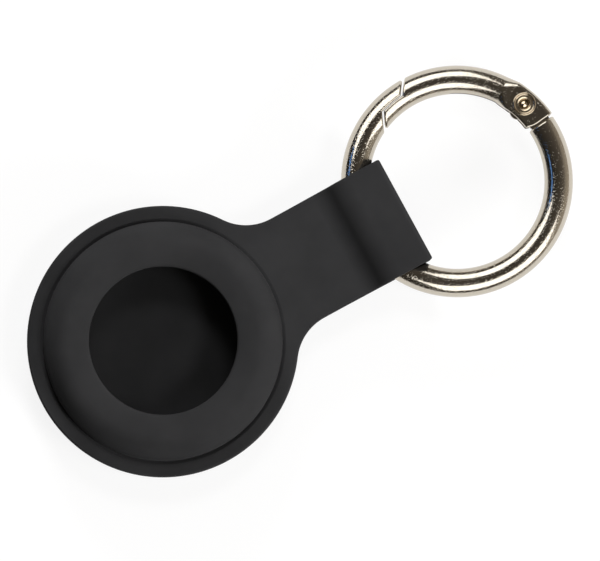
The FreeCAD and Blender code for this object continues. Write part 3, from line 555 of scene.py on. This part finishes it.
def soft_box(name, bearing, tilt, distance, width, height, power, tint="#ffffff"):
    """An area lamp aimed at the middle of the object; sizes are in metres and power in watts."""
    lamp = bpy.data.lights.new(name, "AREA")
    lamp.shape = "RECTANGLE"
    lamp.size = width
    lamp.size_y = height
    lamp.energy = power
    lamp.color = colour(tint)[:3]
    box = bpy.data.objects.new(name, lamp)
    aim = direction(bearing, tilt)
    box.location = IMAGE_CENTRE + aim * distance
    box.rotation_euler = aim.to_track_quat("Z", "Y").to_euler()
    box.visible_camera = False
    bpy.context.scene.collection.objects.link(box)
    return box


# Four soft boxes light everything: two low ones, behind and in front, that shade the dome and
# leave the pocket dark, and two weaker ones higher up. The ring would mirror them as blank
# patches, so they are kept out of reflections.
for box in (
    soft_box("back_box", 100, 68, 1.0, 0.4, 0.25, 8.0),
    soft_box("front_box", 323, 68, 1.0, 0.4, 0.25, 8.0),
    soft_box("back_top_box", 82, 30, 1.0, 0.3, 0.2, 2.2),
    soft_box("front_top_box", 338, 30, 1.0, 0.3, 0.2, 2.2),
):
    box.visible_glossy = False

# Long strip boxes behind and in front that only show as reflections: white streaks along the
# ring, and a cool one from the left.
for strip in (
    soft_box("back_strip", 113, 46, 0.7, 0.85, 0.46, 2.95),
    soft_box("front_strip", 299, 46, 0.7, 0.80, 0.50, 3.0),
    soft_box("side_strip", 175, 57, 0.7, 0.36, 0.08, 0.16, "#5f9cf0"),
):
    strip.visible_diffuse = False

# The room is dim and warm, dark at the picture's left and lighter at its right, which is what the
# ring mirrors between the strips.
world = bpy.data.worlds.new("studio")
bpy.context.scene.world = world
world.use_nodes = True
tree = world.node_tree
tree.nodes.clear()
facing = add_node(tree, "ShaderNodeVectorMath", {
    1: (math.cos(math.radians(VIEW_TURN)), -math.sin(math.radians(VIEW_TURN)), 0)},
    {0: tree.nodes.new("ShaderNodeTexCoord").outputs["Generated"]}, operation="DOT_PRODUCT")
spread = add_node(tree, "ShaderNodeMapRange", {"From Min": -1.0, "From Max": 1.0},
                  {"Value": facing.outputs["Value"]})
walls = add_node(tree, "ShaderNodeValToRGB", None, {"Fac": spread.outputs[0]})
for share, code in ((0.55, "#4e4a45"), (0.8, "#625c55")):
    walls.color_ramp.elements.new(share).color = colour(code)
walls.color_ramp.elements[0].color = colour("#262421")
walls.color_ramp.elements[-1].color = colour("#b8b0a4")
room = add_node(tree, "ShaderNodeBackground", {"Strength": 1.0}, {"Color": walls.outputs[0]})
add_node(tree, "ShaderNodeOutputWorld", None, {"Surface": room.outputs[0]})

# The table is matt card. It is grey to the lamps, so that little light comes up from it, and glows
# white to the lens and in the ring; the object's shadow still shows on it.
TABLE_REACH = 2.0        # m
TABLE_TOP = -0.02 * MM   # just clear of the holder's back
TABLE_GREY = colour("#767676")
TABLE_WHITE = colour("#ffffff")
TABLE_GLOW = 0.84
floor_mesh = bpy.data.meshes.new("table")
ends = ((-1, -1), (1, -1), (1, 1), (-1, 1))
floor_mesh.from_pydata([(x * TABLE_REACH, y * TABLE_REACH, TABLE_TOP) for x, y in ends], [],
                       [(0, 1, 2, 3)])
floor = bpy.data.objects.new("table", floor_mesh)
bpy.context.scene.collection.objects.link(floor)
table, tree, shader = new_material("white_table")
shader.inputs["Base Color"].default_value = TABLE_GREY
shader.inputs["Roughness"].default_value = 0.9
paths = tree.nodes.new("ShaderNodeLightPath").outputs
looked_at = add_node(tree, "ShaderNodeMath", None, {
    0: paths["Is Camera Ray"], 1: paths["Is Glossy Ray"]}, operation="MAXIMUM")
seen = add_node(tree, "ShaderNodeMath", None, {
    0: looked_at.outputs[0], 1: paths["Is Transmission Ray"]}, operation="MAXIMUM")
glow = add_node(tree, "ShaderNodeMath", {1: TABLE_GLOW}, {0: seen.outputs[0]},
                operation="MULTIPLY")
tree.links.new(glow.outputs[0], shader.inputs["Emission Strength"])
shader.inputs["Emission Color"].default_value = TABLE_WHITE
floor_mesh.materials.append(table)

lens = bpy.data.cameras.new("long_lens")
lens.sensor_width = 36.0
lens.lens = lens.sensor_width * LENS_DISTANCE / VIEW_WIDTH
lens.clip_end = 20.0     # m, past the table's ends
camera = bpy.data.objects.new("long_lens", lens)
away = direction(LEAN_BEARING, LENS_LEAN)
camera.location = IMAGE_CENTRE + away * LENS_DISTANCE
upright = Quaternion((0, 0, 1), -math.radians(VIEW_TURN))
camera.rotation_euler = (Vector((0, 0, 1)).rotation_difference(away) @ upright).to_euler()
bpy.context.scene.collection.objects.link(camera)
bpy.context.scene.camera = camera
bpy.context.scene.view_settings.view_transform = "Standard"
